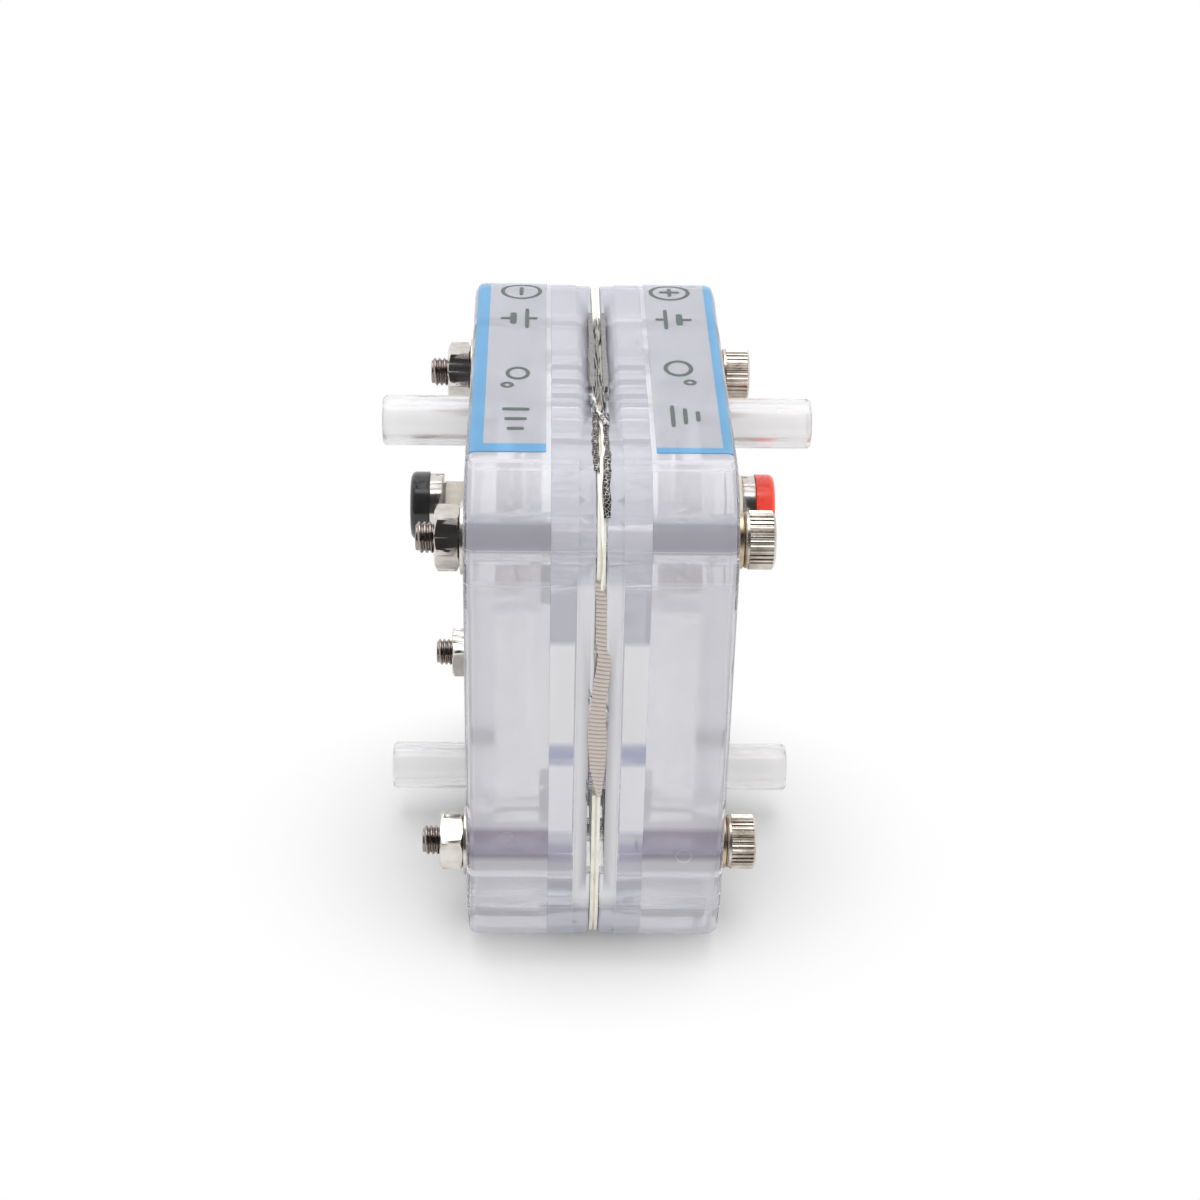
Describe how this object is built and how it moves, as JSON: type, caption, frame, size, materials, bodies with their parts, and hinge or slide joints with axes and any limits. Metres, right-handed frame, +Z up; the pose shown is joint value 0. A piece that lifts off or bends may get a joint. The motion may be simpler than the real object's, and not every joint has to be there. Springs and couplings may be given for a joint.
{
  "type": "electrolyzer stack",
  "caption": "Square water electrolyzer cell: two clear plastic halves screwed together round a membrane, with hose stubs, plug jacks and wrapped labels.",
  "frame": {"origin": "under the middle of the seam between the halves, on the surface that the stack stands on", "axes": "+X along the stack towards the plus half, with the red jack; -Y towards the camera of the picture; +Z up, towards the labels"},
  "size_m": [0.0426, 0.054, 0.0544],
  "materials": {
    "frosted_block": "frosted translucent moulding, faint lavender grey",
    "clear_plate": "polished clear moulding with a faint blue tint",
    "seal_silicone": "milky translucent silicone",
    "sheet_silicone": "cream silicone sheet",
    "membrane_film": "thin coated film, warm cream at its edge",
    "carbon_felt": "dark porous felt",
    "woven_mesh": "fine woven metal wire",
    "ribbed_strip": "ribbed woven metal strip, warm grey",
    "stub_plastic": "milky translucent tube",
    "nickel_plate": "warm nickel plating",
    "ring_black": "glossy black moulding",
    "ring_red": "glossy red moulding",
    "label_film": "glossy film, white field with a sky-blue border"
  },
  "bodies": {
    "root": {"end_block_minus": "frosted_block", "end_block_plus": "frosted_block", "cell_plate_minus": "clear_plate", "cell_plate_plus": "clear_plate", "chamber_seal_minus": "seal_silicone", "chamber_seal_plus": "seal_silicone", "sheet_gasket_minus": "sheet_silicone", "sheet_gasket_plus": "sheet_silicone", "membrane": "membrane_film", "electrode_minus": "carbon_felt", "electrode_plus": "carbon_felt", "mesh_collector_minus": "woven_mesh", "mesh_collector_plus": "woven_mesh", "contact_strip": "ribbed_strip", "upper_stub_minus": "stub_plastic", "lower_stub_minus": "stub_plastic", "upper_stub_plus": "stub_plastic", "lower_stub_plus": "stub_plastic", "cap_screws": "nickel_plate", "head_washers": "nickel_plate", "nut_washers": "nickel_plate", "hex_nuts": "nickel_plate", "jack_socket_minus": "nickel_plate", "jack_socket_plus": "nickel_plate", "jack_ring_minus": "ring_black", "jack_ring_plus": "ring_red", "jack_collar_minus": "nickel_plate", "jack_collar_plus": "nickel_plate", "jack_nut_minus": "nickel_plate", "jack_nut_plus": "nickel_plate", "label_minus": "label_film", "label_plus": "label_film"}
  },
  "joints": []
}
